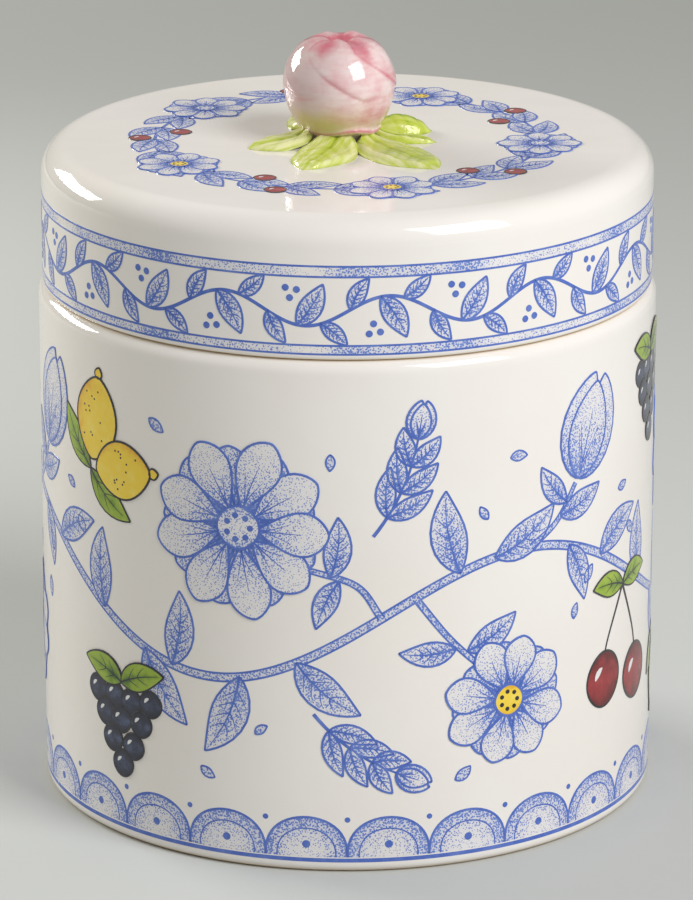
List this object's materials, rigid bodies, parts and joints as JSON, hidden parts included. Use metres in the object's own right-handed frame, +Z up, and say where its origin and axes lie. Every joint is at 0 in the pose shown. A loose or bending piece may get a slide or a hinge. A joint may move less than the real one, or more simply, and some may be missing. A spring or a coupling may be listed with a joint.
{
  "type": "lidded canister",
  "caption": "Straight-sided glazed ceramic canister with a loose drum-shaped lid, lifted by a flower-bud knob set in a ring of leaves; for dry kitchen goods.",
  "frame": {"origin": "centre of the foot ring, on the surface that the jar stands on", "axes": "+Z up along the jar's axis, -Y towards the front of the knob, the side that the picture shows"},
  "size_m": [0.15, 0.15, 0.1848],
  "materials": {
    "cream_glaze": "gloss",
    "rose_glaze": "gloss",
    "leaf_glaze": "gloss"
  },
  "bodies": {
    "jar": {"jar_body": "cream_glaze"},
    "lid": {"lid_cover": "cream_glaze", "knob_bud": "rose_glaze", "leaf_left": "leaf_glaze", "leaf_front_left": "leaf_glaze", "leaf_front_right": "leaf_glaze", "leaf_right_low": "leaf_glaze", "leaf_right_high": "leaf_glaze", "leaf_back": "leaf_glaze"}
  },
  "joints": [
    {"name": "lid_lift", "type": "slide", "parent": "jar", "child": "lid", "axis": [0, 0, 1], "range_m": [0, 0.12]}
  ]
}
